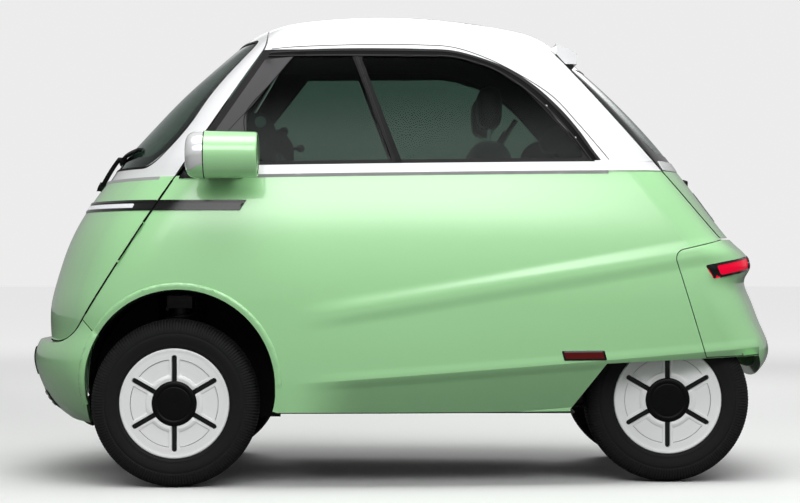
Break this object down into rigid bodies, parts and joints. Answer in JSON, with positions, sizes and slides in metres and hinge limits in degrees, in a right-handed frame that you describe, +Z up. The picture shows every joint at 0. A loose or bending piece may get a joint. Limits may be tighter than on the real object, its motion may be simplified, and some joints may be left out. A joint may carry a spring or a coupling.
{
  "type": "microcar",
  "caption": "Small electric two-seat bubble car with a front-opening door, narrow rear track, side lamp and mirror pods, folding roof and tailgate.",
  "frame": {"origin": "on the ground, at the middle of the footprint, on the centre plane", "axes": "+X forward, +Y to the car's left, +Z up"},
  "size_m": [2.4832, 1.7124, 1.507],
  "materials": {
    "painted_green": "satin pastel green paint",
    "painted_white": "gloss white paint",
    "black_trim": "grained black plastic",
    "dark_grey_trim": "smooth dark grey plastic",
    "gloss_black": "gloss black plastic",
    "glass_tinted": "tinted glass",
    "tyre_rubber": "black rubber",
    "wheel_white": "gloss white wheel enamel",
    "steel_black": "black chassis paint",
    "cast_metal": "bare cast aluminium",
    "red_lens": "red lamp lens",
    "clear_lens": "silvered lamp lens",
    "mirror": "mirror glass",
    "seat_cloth": "woven dark cloth",
    "roof_cloth": "black roof fabric",
    "carpet": "dark floor carpet"
  },
  "bodies": {
    "body": {"battery_box": "steel_black", "belt_moulding": "painted_white", "boot_floor": "carpet", "drive_unit": "cast_metal", "floor_pan": "carpet", "folding_roof": "roof_cloth", "front_axle": "steel_black", "front_bumper": "painted_green", "front_lip": "black_trim", "headlamps": "clear_lens", "headrests": "seat_cloth", "inner_sills": "dark_grey_trim", "mirror_glass": "mirror", "mirror_pods": "painted_green", "rear_axle": "steel_black", "rear_bumper": "painted_green", "red_lamps": "red_lens", "roof_shell": "painted_white", "seat_back": "seat_cloth", "seat_box": "carpet", "seat_cushion": "seat_cloth", "side_glass": "glass_tinted", "side_panels": "painted_green", "side_strips": "gloss_black", "steering_column": "dark_grey_trim", "wheel_liners": "black_trim", "window_frames": "dark_grey_trim"},
    "front_door": {"door_panel": "painted_green", "light_bar": "gloss_black", "windscreen": "glass_tinted", "windscreen_frame": "painted_white", "wiper": "black_trim"},
    "tailgate": {"hatch_frame": "gloss_black", "hatch_panel": "painted_green", "rear_glass": "glass_tinted", "spoiler": "painted_white"},
    "upright_left": {"knuckle_left": "cast_metal"},
    "upright_right": {"knuckle_right": "cast_metal"},
    "steering_hand_wheel": {"steering_wheel": "black_trim"},
    "road_wheel_front_left": {"tyre_front_left": "tyre_rubber", "wheel_front_left": "wheel_white", "hub_cap_front_left": "gloss_black"},
    "road_wheel_front_right": {"tyre_front_right": "tyre_rubber", "wheel_front_right": "wheel_white", "hub_cap_front_right": "gloss_black"},
    "road_wheel_rear_left": {"tyre_rear_left": "tyre_rubber", "wheel_rear_left": "wheel_white", "hub_cap_rear_left": "gloss_black"},
    "road_wheel_rear_right": {"tyre_rear_right": "tyre_rubber", "wheel_rear_right": "wheel_white", "hub_cap_rear_right": "gloss_black"}
  },
  "joints": [
    {"name": "front_door_hinge", "type": "hinge", "parent": "body", "child": "front_door", "pos_m": [0.8528, 0.677, 0.772], "axis": [-0.5501, 0, 0.8351], "range_deg": [0, 75]},
    {"name": "tailgate_hinge", "type": "hinge", "parent": "body", "child": "tailgate", "pos_m": [-0.4705, 0, 1.432], "axis": [0, 1, 0], "range_deg": [0, 65]},
    {"name": "steer_left", "type": "hinge", "parent": "body", "child": "upright_left", "pos_m": [0.716, 0.575, 0.265], "axis": [0, 0, 1], "range_deg": [-28, 28]},
    {"name": "steer_right", "type": "hinge", "parent": "body", "child": "upright_right", "pos_m": [0.716, -0.575, 0.265], "axis": [0, 0, 1], "range_deg": [-28, 28]},
    {"name": "steering_wheel_turn", "type": "hinge", "parent": "body", "child": "steering_hand_wheel", "pos_m": [0.33, 0.27, 0.905], "axis": [-0.88, 0, 0.475], "range_deg": [-450, 450]},
    {"name": "spin_front_left", "type": "hinge", "parent": "upright_left", "child": "road_wheel_front_left", "pos_m": [0.716, 0.605, 0.265], "axis": [0, 1, 0], "continuous": true},
    {"name": "spin_front_right", "type": "hinge", "parent": "upright_right", "child": "road_wheel_front_right", "pos_m": [0.716, -0.605, 0.265], "axis": [0, 1, 0], "continuous": true},
    {"name": "spin_rear_left", "type": "hinge", "parent": "body", "child": "road_wheel_rear_left", "pos_m": [-0.852, 0.44, 0.265], "axis": [0, 1, 0], "continuous": true},
    {"name": "spin_rear_right", "type": "hinge", "parent": "body", "child": "road_wheel_rear_right", "pos_m": [-0.852, -0.44, 0.265], "axis": [0, 1, 0], "continuous": true}
  ],
  "couplings": [
    {"joint": "steer_right", "follows": "steer_left", "ratio": 1},
    {"joint": "steering_wheel_turn", "follows": "steer_left", "ratio": 15}
  ]
}
